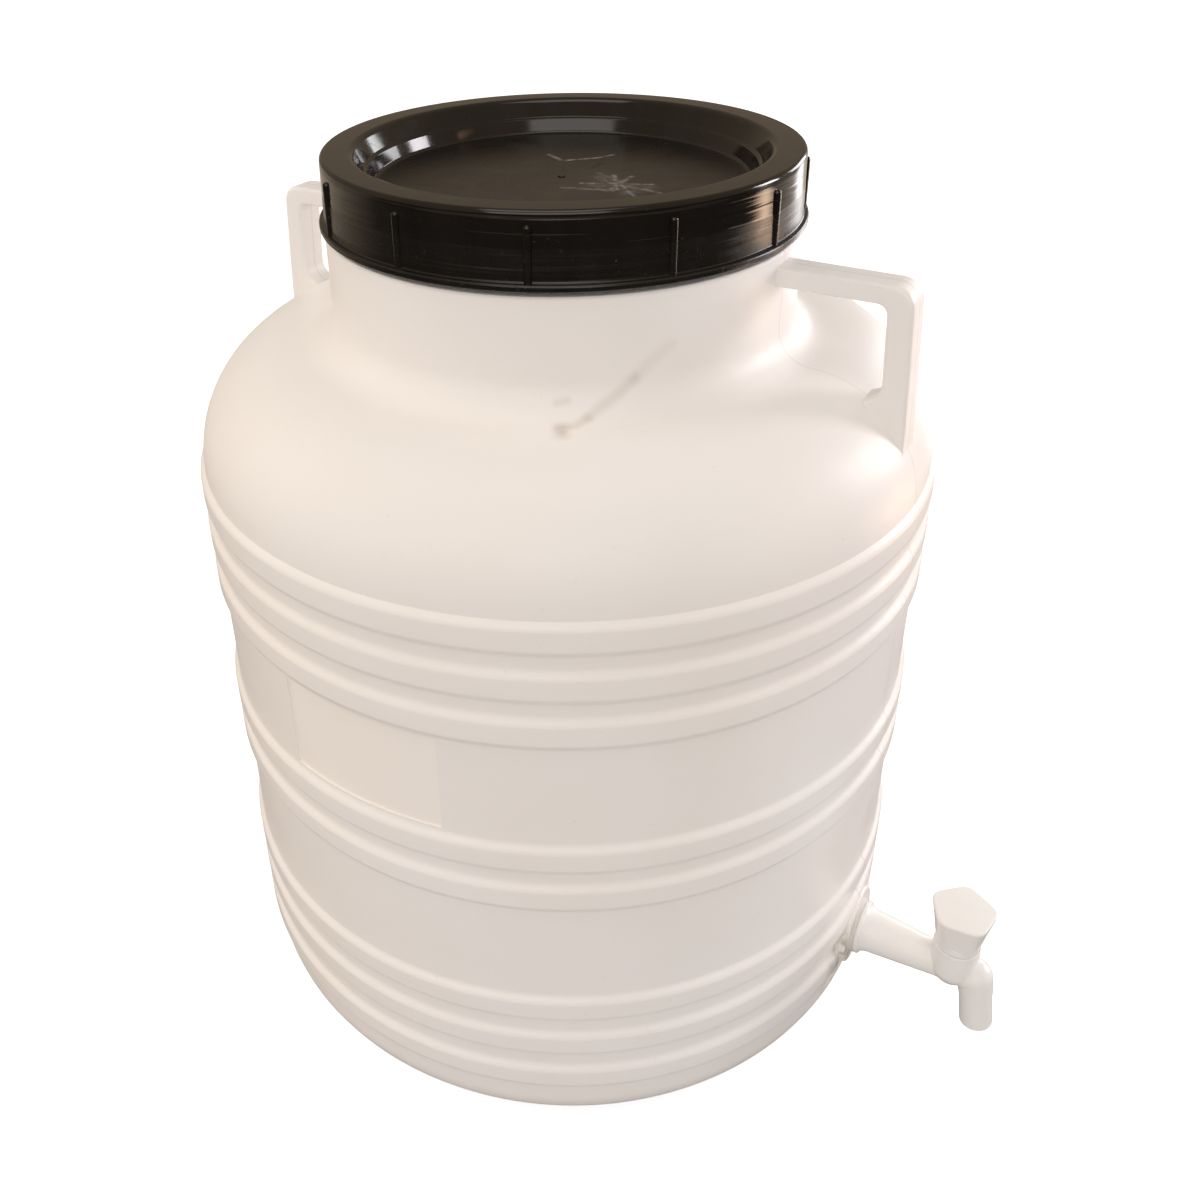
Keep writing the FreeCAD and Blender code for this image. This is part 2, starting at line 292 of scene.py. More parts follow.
def rounded_ribs(piece):
    for top in rib_tops:
        foot = top - rib_height
        corners = [(band, foot, rib_foot_round)]
        corners += [(crest, foot + rib_depth, rib_crest_round), (crest, top - rib_depth, rib_crest_round)]
        if top < shoulder_start - 0.001:
            corners.append((band, top, rib_foot_round))
        round_corners(piece, corners)


def drum_hollow():
    inner_neck = neck - wall
    bore = finish - wall
    top = shoulder_start + shoulder_radius - wall
    corner = band - base_corner
    above = lip + 0.01
    under_shoulder = 0.0104
    points = [(0, floor_top), (corner, floor_top)]
    points += arc(corner, base_corner, base_corner - wall, -86, 0, 6)
    points += arc(band - shoulder_radius, shoulder_start, shoulder_radius - wall, 0, 90, 8)
    points += [(inner_neck + under_shoulder, top), (inner_neck, top + under_shoulder)]
    points += [(inner_neck, neck_top - 2 * wall), (bore, neck_top - wall), (bore, above), (0, above)]
    return turned("hollow", points, steps=spin_steps // 2)


# A handle's outer and inner lines, as radii and heights from the neck along the bar and down the post
handle_start = 0.098
handle_outer = [(handle_start, 0.402)] + arc(0.1565, 0.393, 0.009, 90, 3, 6)
handle_outer += [(0.16768, 0.3585), (0.16774, 0.3563), (0.16786, 0.3539), (0.168, 0.3515), (0.16815, 0.3485)]
handle_outer += [(0.1683, 0.3455), (0.1685, 0.342), (0.1691, 0.33)]
handle_inner = [(handle_start, 0.393)] + arc(0.1501, 0.3885, 0.0045, 90, 3, 6)
handle_inner += arc(0.14805, 0.3587, 0.0082, 0, -90, 6) + [(0.14805, 0.338)]


def handle(side):
    piece = trace("handle", [(r, -handle_half, z) for r, z in handle_outer])
    done(piece)
    inner = trace("inner", [(r, -handle_half, z) for r, z in handle_inner])
    done(inner)
    merge_pieces(piece, [inner])
    bpy.ops.object.mode_set(mode="EDIT")
    bpy.ops.mesh.select_mode(type="EDGE")
    bpy.ops.mesh.select_all(action="SELECT")
    bpy.ops.mesh.bridge_edge_loops()
    thicken((0, 2 * handle_half, 0))

    def long_edge(a, b, edge):
        at_neck = max(a.x, b.x) < 0.0985
        at_foot = max(a.z, b.z) < 0.3385
        return edge.calc_face_angle(0.0) > 0.9 and not at_neck and not at_foot

    pick_edges(piece, long_edge)
    bpy.ops.mesh.bevel(offset=handle_edge, offset_type="OFFSET", segments=3, affect="EDGES")
    close_up()
    done(piece)
    if side < 0:
        piece.data.transform(Matrix.Rotation(math.pi, 4, "Z"))
    return piece


# The bare label panel, a shallow hollow that faces -Y, as its floor's radius, its heights and half its angle
panel_floor = band - 0.0009
panel_low = 0.1923
panel_high = 0.241
panel_half = 13.25


def panel_cutter():
    outside = crest + 0.002
    points = [(panel_floor, panel_low), (outside, panel_low)]
    points += [(outside, panel_high), (panel_floor, panel_high)]
    piece = trace("panel_cutter", section(points))
    fill_outline()
    half = math.radians(panel_half)
    bpy.ops.mesh.spin(steps=16, angle=2 * half, center=(0, 0, 0), axis=(0, 0, 1))
    close_up()
    turn = Matrix.Rotation(-math.pi / 2 + half, 4, "Z")
    done(piece)
    piece.data.transform(turn)
    return piece


# The tap's flat seat on the drum, its hole, and the room for its nut inside
seat_radius = 0.0204
hole_radius = 0.0105
nut_room = 0.0182


def drum_shell():
    piece = trace("drum_shell", section(drum_profile()))
    rounded_ribs(piece)
    round_corners(piece, [(neck, neck_top, 0.0015), (finish, lip, 0.0008)])
    turn_round(spin_steps)
    done(piece)
    combine(piece, panel_cutter(), "DIFFERENCE")
    combine(piece, handle(1), "UNION")
    combine(piece, handle(-1), "UNION")
    out = (1, 0, 0)
    seat = round_bar("seat", (0.168, 0, tap_height), out, seat_radius, 0.0112, 72, 0.001)
    combine(piece, seat, "UNION")
    combine(piece, drum_hollow(), "DIFFERENCE")
    inside = (0.16, 0, tap_height)
    combine(piece, round_bar("hole", inside, out, hole_radius, 0.03, 48), "DIFFERENCE")
    combine(piece, round_bar("pocket", inside, out, nut_room, 0.017, 48), "DIFFERENCE")
    smooth(piece, 30)
    return hand_in(piece, "drum", "drum_body")


# A screw thread of the lid's lead, right-handed, from a start height
def thread(name, root, tip, start, turns, body):
    at_root, at_tip = 0.0017, 0.0007
    points = [(root, start - at_root), (tip, start - at_tip), (tip, start + at_tip), (root, start + at_root)]
    piece = trace(name, section(points))
    pick_points(piece, lambda p: abs(p.x - root) < 1e-6)
    bpy.ops.mesh.edge_face_add()
    done(piece)
    steps = round(96 * turns)
    apply_step(
        piece,
        "SCREW",
        axis="Z",
        angle=full_circle * turns,
        screw_offset=thread_lead * turns,
        steps=steps,
        render_steps=steps,
        use_smooth_shade=False,
    )
    only(piece)
    bpy.ops.object.mode_set(mode="EDIT")
    bpy.ops.mesh.select_all(action="SELECT")
    bpy.ops.mesh.fill_holes(sides=4)
    close_up()
    done(piece)
    smooth(piece, 25)
    return hand_in(piece, body)


# Lid: one turned shell with a recessed centre, a flange and upright grips
lid_bottom = 0.4092
lid_top = 0.4403
lid_skirt = 0.1072
skirt_foot = lid_skirt + 0.0005
lid_floor = 0.4246
floor_edge = 0.0845
ledge_start = 0.087
ledge_end = 0.0885
ledge_height = 0.4315
rim_inside = 0.093
flange = 0.11
flange_top = lid_bottom + 0.003
lid_inside = 0.1048
under_rim = 0.4379
under_floor = 0.4222
grip_count = 12
first_grip = -36.0


def lid_profile():
    return [
        (0, lid_floor),
        (floor_edge, lid_floor),
        (ledge_start, ledge_height),
        (ledge_end, ledge_height),
        (rim_inside, lid_top),
        (lid_skirt, lid_top),
        (skirt_foot, flange_top),
        (flange, flange_top),
        (flange, lid_bottom),
        (lid_inside, lid_bottom),
        (lid_inside, under_rim),
        (0.0954, under_rim),
        (0.0869, under_floor),
        (0, under_floor),
    ]


def lid_grip():
    foot = lid_bottom + 0.0015
    grip = round_bar("grip", (lid_skirt, 0, foot), (0, 0, 1), 0.00175, 0.0241, 20, 0.0014)
    smooth(grip, 50)
    return grip


def lid_shell():
    piece = trace("lid_shell", section(lid_profile()))
    round_corners(piece, [(lid_skirt, lid_top, 0.0019), (rim_inside, lid_top, 0.0022)], 5)
    round_corner(piece, floor_edge, lid_floor, 0.0014)
    round_corners(piece, [(ledge_end, ledge_height, 0.0007), (ledge_start, ledge_height, 0.0006)])
    round_corners(piece, [(flange, flange_top, 0.001), (flange, lid_bottom, 0.0007)])
    round_corner(piece, skirt_foot, flange_top, 0.0008)
    turn_round(spin_steps)
    done(piece)
    smooth(piece, 35)
    first = lid_grip()
    grips = []
    for i in range(grip_count):
        angle = math.radians(first_grip) + i * full_circle / grip_count
        grips.append(own_copy(first, Matrix.Rotation(angle, 4, "Z")))
    bpy.data.objects.remove(first)
    gate = round_bar("gate", (0, 0, lid_floor - 0.0002), (0, 0, 1), 0.0018, 0.0007, 24, 0.0003)
    merge_pieces(piece, grips + [gate])
    return hand_in(piece, "lid", "lid")


# Tap: body with collar, tapered tube, barrel, elbow and spout
tap_face = 0.1792
plug_x = 0.229
elbow_x = 0.2405
shank = 0.0104
collar_radius = 0.014
tube = 0.0086
barrel_radius = 0.0115
barrel_foot = 0.007
barrel_low = 0.0394
barrel_top = 0.0643
spout_radius = 0.0081
spout_length = 0.0315
spout_lean = 9.0


def tap_shell():
    out = (1, 0, 0)
    start = 0.157
    at = (start, 0, tap_height)
    collar = tap_face + 0.002 - start
    flare = collar + 0.0025
    profile = [(0, 0), (shank, 0), (shank, collar), (collar_radius, collar), (collar_radius, flare)]
    profile += [(0.0128, flare), (0.0118, flare + 0.0014), (0.0112, flare + 0.004)]
    profile += [(tube, flare + 0.0375)]
    profile += arc(0, elbow_x - start, tube, 0, 90, 10)
    corners = [(shank, 0, 0.0006), (collar_radius, collar, 0.0005), (collar_radius, flare, 0.0009)]
    piece = lay(turned("tap_shell", profile, corners, 72), at, out)
    profile = [(0, barrel_low), (barrel_foot, barrel_low), (barrel_radius, tap_height)]
    profile += [(barrel_radius, barrel_top), (0, barrel_top)]
    corners = [(barrel_foot, barrel_low, 0.0025), (barrel_radius, tap_height, 0.002)]
    corners += [(barrel_radius, barrel_top, 0.0007)]
    barrel = turned("barrel", profile, corners, 72, 4)
    barrel.data.transform(Matrix.Translation((plug_x, 0, 0)))
    combine(piece, barrel, "UNION")
    lean = math.radians(spout_lean)
    down = (math.sin(lean), 0, -math.cos(lean))
    elbow = (elbow_x, 0, tap_height)
    profile = [(0, 0), (tube, 0), (tube, 0.0095), (spout_radius, 0.0099)]
    profile += [(spout_radius, spout_length), (0, spout_length)]
    spout = turned("spout", profile, [(spout_radius, spout_length, 0.0013)], 64, 4)
    combine(piece, lay(spout, elbow, down), "UNION")
    profile = [(0, 0.0405), (0.00522, 0.0405), (0.00765, barrel_top), (0.00765, 0.07), (0, 0.07)]
    pocket = turned("pocket", profile, steps=56)
    pocket.data.transform(Matrix.Translation((plug_x, 0, 0)))
    combine(piece, pocket, "DIFFERENCE")
    channel = round_bar("channel", (0.15, 0, tap_height), out, 0.0055, 0.0955, 44)
    over = Vector(elbow) - Vector(down) * 0.0021
    combine(channel, round_bar("way_out", over, down, 0.005, 0.042, 40), "UNION")
    combine(piece, channel, "DIFFERENCE")
    smooth(piece, 32.0)
    return hand_in(piece, "drum", "tap_body")


# Knob: a flared five-sided grip with rounded corners on a round collar
grip_low = 0.0122
grip_high = 0.0164
grip_height = 0.0195
grip_parts = 4


def knob_outline(radius):
    points = []
    for i in range(5):
        for side in (-8.0, 8.0):
            angle = math.radians(25.0 + 72.0 * i + side)
            points.append((radius * math.cos(angle), radius * math.sin(angle), 0.0))
    return points


def grip_block():
    piece = trace("knob_shell", knob_outline(grip_low))
    fill_outline()
    bpy.ops.mesh.select_mode(type="VERT")
    bpy.ops.mesh.select_all(action="SELECT")
    bpy.ops.mesh.bevel(offset=0.0015, offset_type="OFFSET", segments=4, affect="VERTICES")
    bpy.ops.mesh.select_mode(type="FACE")
    bpy.ops.mesh.select_all(action="SELECT")
    last = grip_low
    rise = (0, 0, grip_height / grip_parts)
    for i in range(grip_parts):
        bpy.ops.mesh.extrude_region_move(TRANSFORM_OT_translate={"value": rise})
        share = (i + 1) / grip_parts
        size = grip_low + (grip_high - grip_low) * share**1.15
        middle = (0, 0, grip_height * share)
        bpy.ops.transform.resize(value=(size / last, size / last, 1), center_override=middle)
        last = size
    close_up()
    pick_edges(piece, lambda a, b, edge: min(a.z, b.z) > grip_height - 1e-5)
    bpy.ops.mesh.bevel(offset=0.0014, offset_type="OFFSET", segments=4, affect="EDGES")
    pick_edges(piece, lambda a, b, edge: max(a.z, b.z) < 1e-5)
    bpy.ops.mesh.bevel(offset=0.0005, offset_type="OFFSET", segments=2, affect="EDGES")
    close_up()
    return done(piece)


def square_hole(start, side, depth):
    half = side / 2
    corners = [(-half, -half, 0), (half, -half, 0), (half, half, 0), (-half, half, 0)]
    piece = trace("square_hole", corners)
    fill_outline()
    thicken((0, 0, depth))
    done(piece)
    piece.data.transform(Matrix.Translation(start))
    return piece


def knob_shell():
    up = (0, 0, 1)
    foot = barrel_top + 0.0036
    piece = grip_block()
    piece.data.transform(Matrix.Translation((plug_x, 0, foot)))
    collar = round_bar("collar", (plug_x, 0, barrel_top + 0.0003), up, 0.0112, 0.0038, 64, 0.0005)
    combine(piece, collar, "UNION")
    socket = round_bar("socket", (plug_x, 0, barrel_top), up, 0.0097, 0.0016, 44)
    combine(socket, square_hole((plug_x, 0, barrel_top + 0.0011), 0.0081, 0.0136), "UNION")
    combine(piece, socket, "DIFFERENCE")
    smooth(piece, 38)
    return hand_in(piece, "tap_handle", "tap_knob")


# Materials
def new_material(name):
    material = bpy.data.materials.new(name)
    material.use_nodes = True
    tree = material.node_tree
    tree.nodes.clear()
    out = tree.nodes.new("ShaderNodeOutputMaterial")
    shader = tree.nodes.new("ShaderNodeBsdfPrincipled")
    tree.links.new(shader.outputs[0], out.inputs[0])
    return material, tree, shader.inputs


# Sets a socket to a value, or links it where the value is another node's result
def put(tree, socket, value):
    if isinstance(value, bpy.types.NodeSocket):
        tree.links.new(value, socket)
    else:
        socket.default_value = value


def noise(tree, place, scale, detail=3.0, rough=0.55):
    made = tree.nodes.new("ShaderNodeTexNoise")
    for name, value in (("Vector", place), ("Scale", scale), ("Detail", detail), ("Roughness", rough)):
        put(tree, made.inputs[name], value)
    return made.outputs["Fac"]


def spread(tree, value, low, high, to_low=0.0, to_high=1.0, way="LINEAR"):
    made = tree.nodes.new("ShaderNodeMapRange")
    made.interpolation_type = way
    for i, part in enumerate((value, low, high, to_low, to_high)):
        put(tree, made.inputs[i], part)
    return made.outputs[0]


def calc(tree, kind, a, b=0.0):
    made = tree.nodes.new("ShaderNodeMath")
    made.operation = kind
    put(tree, made.inputs[0], a)
    put(tree, made.inputs[1], b)
    return made.outputs[0]


def calc_place(tree, kind, a, b=(1.0, 1.0, 1.0)):
    made = tree.nodes.new("ShaderNodeVectorMath")
    made.operation = kind
    put(tree, made.inputs[0], a)
    put(tree, made.inputs[3 if kind == "SCALE" else 1], b)
    return made.outputs[1 if kind in ("DOT_PRODUCT", "LENGTH") else 0]


def tint(tree, mask, low, high):
    made = tree.nodes.new("ShaderNodeMix")
    made.data_type = "RGBA"
    put(tree, made.inputs[0], mask)
    put(tree, made.inputs[6], low)
    put(tree, made.inputs[7], high)
    return made.outputs[2]


# A base value with a share of a mask added to it
def add_share(tree, base, mask, share):
    return calc(tree, "ADD", base, calc(tree, "MULTIPLY", mask, share))


# A colour tinted towards a shade where a mask is high, as strongly as the share says
def stain(tree, colour, mask, share, shade):
    return tint(tree, calc(tree, "MULTIPLY", mask, share), colour, shade)


def along_axes(tree, place):
    made = tree.nodes.new("ShaderNodeSeparateXYZ")
    put(tree, made.inputs[0], place)
    return made.outputs


def from_axis(tree, place):
    flat = calc_place(tree, "MULTIPLY", place, (1.0, 1.0, 0.0))
    return calc_place(tree, "LENGTH", flat)


def new_group(name, given, results):
    group = bpy.data.node_groups.new(name, "ShaderNodeTree")
    for title, kind in given:
        group.interface.new_socket(title, in_out="INPUT", socket_type="NodeSocket" + kind)
    for title, kind in results:
        group.interface.new_socket(title, in_out="OUTPUT", socket_type="NodeSocket" + kind)
    start = group.nodes.new("NodeGroupInput")
    end = group.nodes.new("NodeGroupOutput")
    return group, start.outputs, end.inputs


def use_group(tree, group, values):
    made = tree.nodes.new("ShaderNodeGroup")
    made.node_tree = group
    for title, value in values.items():
        put(tree, made.inputs[title], value)
    return made.outputs


# Fine surface shared by all moulded pieces: slow waves, grain and a rub pattern for the roughness
def surface_group():
    given = [("Place", "Vector")]
    given += [(title, "Float") for title in ("Waves", "Grain", "Smooth", "Rubbed")]
    group, start, end = new_group("moulded_surface", given, [("Height", "Float"), ("Roughness", "Float")])
    place = start["Place"]
    waves = calc(group, "MULTIPLY", noise(group, place, 28.0, 2.0), start["Waves"])
    grain = calc(group, "MULTIPLY", noise(group, place, 900.0, 2.0), start["Grain"])
    put(group, end["Height"], calc(group, "ADD", waves, grain))
    rub = spread(group, noise(group, place, 55.0, 5.0, 0.65), 0.3, 0.7)
    put(group, end["Roughness"], spread(group, rub, 0.0, 1.0, start["Smooth"], start["Rubbed"]))
    return group


# A soft stroke between two places, for marks, smears, gate scars and a painted shadow
def stroke_group():
    given = [("Place", "Vector"), ("Start", "Vector"), ("End", "Vector"), ("Width", "Float")]
    group, start, end = new_group("soft_stroke", given, [("Mask", "Float")])
    along = calc_place(group, "SUBTRACT", start["End"], start["Start"])
    reach = calc_place(group, "SUBTRACT", start["Place"], start["Start"])
    length = calc_place(group, "DOT_PRODUCT", along, along)
    share = calc(group, "DIVIDE", calc_place(group, "DOT_PRODUCT", reach, along), length)
    share = calc(group, "MINIMUM", calc(group, "MAXIMUM", share, 0.0), 1.0)
    rest = calc_place(group, "SUBTRACT", reach, calc_place(group, "SCALE", along, share))
    gap = calc_place(group, "LENGTH", rest)
    put(group, end["Mask"], spread(group, gap, 0.0, start["Width"], 1.0, 0.0, "SMOOTHSTEP"))
    return group


# Thin scratches in two directions, only where a slow pattern lets them show
def scratch_group():
    given = [("Place", "Vector"), ("Amount", "Float")]
    group, start, end = new_group("thin_scratches", given, [("Mask", "Float")])
    total = None
    for stretch in ((900.0, 30.0, 60.0), (40.0, 700.0, 90.0)):
        lines = noise(group, calc_place(group, "MULTIPLY", start["Place"], stretch), 1.0, 1.0)
        thin = spread(group, lines, 0.70, 0.76)
        total = thin if total is None else calc(group, "MAXIMUM", total, thin)
    shown = spread(group, noise(group, start["Place"], 22.0, 2.0), 0.5, 0.62)
    shown = calc(group, "MULTIPLY", shown, start["Amount"])
    put(group, end["Mask"], calc(group, "MULTIPLY", total, shown))
    return group


surface = surface_group()
stroke = stroke_group()
scratches = scratch_group()


def object_place(tree):
    return tree.nodes.new("ShaderNodeTexCoord").outputs["Object"]


def raise_surface(tree, sockets, height, strength, distance):
    made = tree.nodes.new("ShaderNodeBump")
    made.inputs["Strength"].default_value = strength
    made.inputs["Distance"].default_value = distance
    put(tree, made.inputs["Height"], height)
    put(tree, sockets["Normal"], made.outputs[0])


def moulded_surface(tree, place, waves, grain, smooth_part, rubbed_part):
    values = {"Place": place, "Waves": waves, "Grain": grain, "Smooth": smooth_part, "Rubbed": rubbed_part}
    return use_group(tree, surface, values)


def set_all(sockets, values):
    for name, value in values.items():
        sockets[name].default_value = value


def millimetres(spot):
    return tuple(part / 1000 for part in spot)


def strokes(tree, place, line, width):
    total = None
    for first, second in zip(line, line[1:]):
        values = {"Place": place, "Start": millimetres(first), "End": millimetres(second), "Width": width}
        mask = use_group(tree, stroke, values)["Mask"]
        total = mask if total is None else calc(tree, "MAXIMUM", total, mask)
    return total


# The brown mark on the shoulder, in millimetres: a drop and the smear that runs up from it; above it, the
# handle bar's shadow on the neck, painted brown
drop = ((63.4, -107.4, 357.0), (61.0, -103.6, 357.3))
smear_low = ((62.3, -105.0, 357.0), (59.5, -103.6, 357.5), (64.7, -99.3, 357.8), (67.2, -93.5, 359.4))
smear_high = ((67.2, -93.5, 359.4), (69.5, -88.0, 362.0), (73.6, -80.9, 366.2), (77.9, -74.9, 371.7))
dash = ((54.6, -96.4, 364.2), (57.8, -93.4, 364.8))
# Painted shadow: the line where the handle's bar shades the neck
bar_shadow_on_neck = ((77.9, -74.9, 371.7), (82.0, -70.3, 377.7), (87.2, -63.7, 383.5))
# A darker brownish streak beside and below the tap, in millimetres
tap_side_streak_line = ((177.0, -18.0, 50.0), (176.0, -20.0, 24.0))

# Each mark's line, its half width in metres and how strongly it shows; the first line is painted shadow, the
# rest real stain
marks_and_bar_shadow = (
    (bar_shadow_on_neck, 0.005, 0.1),
    (smear_high, 0.004, 0.2),
    (smear_low, 0.0034, 0.24),
    (dash, 0.003, 0.16),
    (drop, 0.0055, 0.28),
)
stain_and_shadow_brown = (0.42, 0.31, 0.23, 1)


def milky_plastic():
    material, tree, sockets = new_material("milky_plastic")
    place = object_place(tree)
    cloud = spread(tree, noise(tree, place, 5.0, 3.0), 0.32, 0.68)
    colour = tint(tree, cloud, (0.89, 0.845, 0.80, 1), (0.91, 0.885, 0.87, 1))
    fleck = spread(tree, noise(tree, place, 320.0, 3.0), 0.70, 0.78, 0.0, 0.25)
    colour = tint(tree, fleck, colour, (0.62, 0.55, 0.47, 1))
    axes = along_axes(tree, place)
    seam = spread(tree, calc(tree, "ABSOLUTE", axes["Y"]), 0.0001, 0.0006, 1.0, 0.0, "SMOOTHSTEP")
    colour = stain(tree, colour, seam, 0.3, (0.55, 0.47, 0.40, 1))
    # Darkens the colour towards brown in a noise-broken streak beside and below the tap
    tap_side_darkening = strokes(tree, place, tap_side_streak_line, 0.017)
    tap_side_darkening = calc(tree, "MULTIPLY", tap_side_darkening, spread(tree, noise(tree, place, 150.0, 4.0), 0.4, 0.6, 0.0, 0.75))
    colour = tint(tree, tap_side_darkening, colour, (0.40, 0.36, 0.26, 1))
    low_panel = spread(tree, from_axis(tree, place), panel_floor + 0.0001, band - 0.0002, 1.0, 0.0)
    at_panel = spread(tree, axes["Z"], 0.1918, 0.1921)
    at_panel = calc(tree, "MULTIPLY", at_panel, spread(tree, axes["Z"], 0.2412, 0.2415, 1.0, 0.0))
    panel = calc(tree, "MULTIPLY", low_panel, at_panel)
    colour = stain(tree, colour, panel, 0.45, (1.0, 0.93, 0.86, 1))
    # Stains the real mark brown and paints the bar's shadow on the neck in the same brown
    for line, width, strength in marks_and_bar_shadow:
        colour = stain(tree, colour, strokes(tree, place, line, width), strength, stain_and_shadow_brown)
    put(tree, sockets["Base Color"], colour)
    fine = moulded_surface(tree, place, 1.0, 0.03, 0.34, 0.46)
    worn = use_group(tree, scratches, {"Place": place, "Amount": 0.5})["Mask"]
    put(tree, sockets["Roughness"], add_share(tree, fine["Roughness"], worn, 0.2))
    set_all(sockets, {"IOR": 1.5, "Specular IOR Level": 0.4})
    height = add_share(tree, fine["Height"], seam, 0.25)
    height = calc(tree, "SUBTRACT", height, calc(tree, "MULTIPLY", worn, 0.06))
    raise_surface(tree, sockets, height, 0.4, 0.0008)
    return material


# Scuffs on the lid's floor and the scars of the gate, as lines from x, y to x, y in millimetres
scuff_height = 424.6
scuff_patch = ((18, 6, 40, -10), (22, -8, 42, 0))
scuff_lines = (
    (12, 12, 34, 1),
    (20, 12, 33, -8),
    (28, 14, 30, -12),
    (14, -6, 42, 6),
    (24, 0, 52, -4),
    (26, 4, 44, -14),
    (10, -16, 32, -10),
)
gate_lines = ((-26, 31, -14, 24), (-14, 24, -2, 36), (-2, 36, 2, 44))
lid_marks = ((scuff_patch, 0.009, 0.35), (scuff_lines, 0.0022, 0.8), (gate_lines, 0.0019, 0.9))
pink_line = ((-81.0, 34.0, 427.0), (-79.0, 42.0, 428.0))


def on_lid_floor(line):
    return (line[0], line[1], scuff_height), (line[2], line[3], scuff_height)


def black_gloss():
    material, tree, sockets = new_material("black_gloss")
    place = object_place(tree)
    axes = along_axes(tree, place)
    streaks = noise(tree, calc_place(tree, "MULTIPLY", place, (55.0, 6.0, 6.0)), 1.0, 3.0)
    dust = spread(tree, noise(tree, place, 480.0, 2.0), 0.68, 0.8, 0.0, 0.12)
    dusty = spread(tree, axes["Z"], 0.43, 0.432, 1.0, 0.6)
    streaked = spread(tree, streaks, 0.3, 0.7)
    colour = tint(tree, streaked, (0.0055, 0.0045, 0.0038, 1), (0.010, 0.0085, 0.007, 1))
    colour = stain(tree, colour, dust, dusty, (0.30, 0.27, 0.24, 1))
    worn = None
    for lines, width, strength in lid_marks:
        for line in lines:
            mask = calc(tree, "MULTIPLY", strokes(tree, place, on_lid_floor(line), width), strength)
            worn = mask if worn is None else calc(tree, "MAXIMUM", worn, mask)
    broken = spread(tree, noise(tree, place, 240.0, 5.0, 0.75), 0.36, 0.62)
    worn = calc(tree, "MULTIPLY", worn, broken)
    colour = stain(tree, colour, worn, 0.5, (0.55, 0.52, 0.48, 1))
    colour = stain(tree, colour, strokes(tree, place, pink_line, 0.004), 0.5, (0.45, 0.28, 0.20, 1))
    put(tree, sockets["Base Color"], colour)
    fine = moulded_surface(tree, place, 0.7, 0.01, 0.06, 0.16)
    hair = use_group(tree, scratches, {"Place": place, "Amount": 0.7})["Mask"]
    rough = add_share(tree, fine["Roughness"], hair, 0.25)
    rough = add_share(tree, rough, worn, 0.3)
    dull = spread(tree, axes["Z"], lid_floor + 0.0005, lid_floor + 0.0012, 0.16, 0.0)
    rough = calc(tree, "ADD", rough, dull)
    put(tree, sockets["Roughness"], rough)
    set_all(sockets, {"IOR": 1.6})
    rings = noise(tree, calc_place(tree, "MULTIPLY", place, (9.0, 9.0, 360.0)), 1.0, 2.0)
    on_skirt = spread(tree, axes["Z"], 0.4365, 0.4385, 1.0, 0.0)
    outside = spread(tree, from_axis(tree, place), 0.1, 0.104)
    ripples = calc(tree, "MULTIPLY", rings, outside)
    ripples = calc(tree, "MULTIPLY", ripples, calc(tree, "MULTIPLY", on_skirt, 2.2))
    height = calc(tree, "ADD", fine["Height"], ripples)
    raise_surface(tree, sockets, height, 0.35, 0.0006)
    return material


def white_moulded():
    material, tree, sockets = new_material("white_moulded")
    place = object_place(tree)
    cloud = spread(tree, noise(tree, place, 24.0, 3.0), 0.3, 0.7)
    colour = tint(tree, cloud, (0.90, 0.875, 0.84, 1), (0.94, 0.92, 0.90, 1))
    fleck = spread(tree, noise(tree, place, 500.0, 3.0), 0.68, 0.78, 0.0, 0.3)
    put(tree, sockets["Base Color"], tint(tree, fleck, colour, (0.55, 0.47, 0.38, 1)))
    fine = moulded_surface(tree, place, 0.5, 0.05, 0.28, 0.4)
    worn = use_group(tree, scratches, {"Place": place, "Amount": 0.5})["Mask"]
    put(tree, sockets["Roughness"], add_share(tree, fine["Roughness"], worn, 0.2))
    set_all(sockets, {"Subsurface Weight": 0.2, "Subsurface Radius": (1.0, 0.8, 0.65)})
    set_all(sockets, {"Subsurface Scale": 0.004, "IOR": 1.5})
    raise_surface(tree, sockets, fine["Height"], 0.3, 0.0004)
    return material


def rubber(name, dark, light, rough):
    material, tree, sockets = new_material(name)
    place = object_place(tree)
    cloud = spread(tree, noise(tree, place, 200.0, 3.0), 0.3, 0.7)
    put(tree, sockets["Base Color"], tint(tree, cloud, dark, light))
    fine = moulded_surface(tree, place, 0.3, 0.2, rough, rough + 0.12)
    put(tree, sockets["Roughness"], fine["Roughness"])
    raise_surface(tree, sockets, fine["Height"], 0.3, 0.0003)
    return material


# Floor and light: the paper is pure white to the camera, and the lid's gloss mirrors two window strips on it
no_light = (0, 0, 0, 1)
paper_white = (0.9, 0.9, 0.9, 1)
paper_glow = (0.56, 0.575, 0.595, 1)
warm_strip = ((640, 600, 0), (2200, 2050, 0))
cool_strip = ((160, 920, 0), (450, 2600, 0))


def floor_paper():
    material, tree, sockets = new_material("floor_paper")
    rays = tree.nodes.new("ShaderNodeLightPath")
    place = object_place(tree)
    away = calc_place(tree, "DOT_PRODUCT", place, (-0.55, 0.83, 0.0))
    glossy = tint(tree, spread(tree, away, 0.1, 1.4), (0.05, 0.042, 0.035, 1), (0.6, 0.53, 0.44, 1))
    colour = tint(tree, rays.outputs["Is Glossy Ray"], (0.61, 0.605, 0.615, 1), glossy)
    seen = calc(tree, "MAXIMUM", rays.outputs["Is Camera Ray"], rays.outputs["Is Transmission Ray"])
    put(tree, sockets["Base Color"], tint(tree, seen, colour, paper_white))
    shine = tint(tree, strokes(tree, place, warm_strip, 0.3), no_light, (6.5, 4.6, 3.2, 1))
    shine = tint(tree, strokes(tree, place, cool_strip, 0.34), shine, (3.4, 3.3, 3.4, 1))
    shine = tint(tree, rays.outputs["Is Glossy Ray"], no_light, shine)
    put(tree, sockets["Emission Color"], tint(tree, seen, shine, paper_glow))
    set_all(sockets, {"Emission Strength": 1.0, "Roughness": 0.9, "Specular IOR Level": 0.0})
    return material


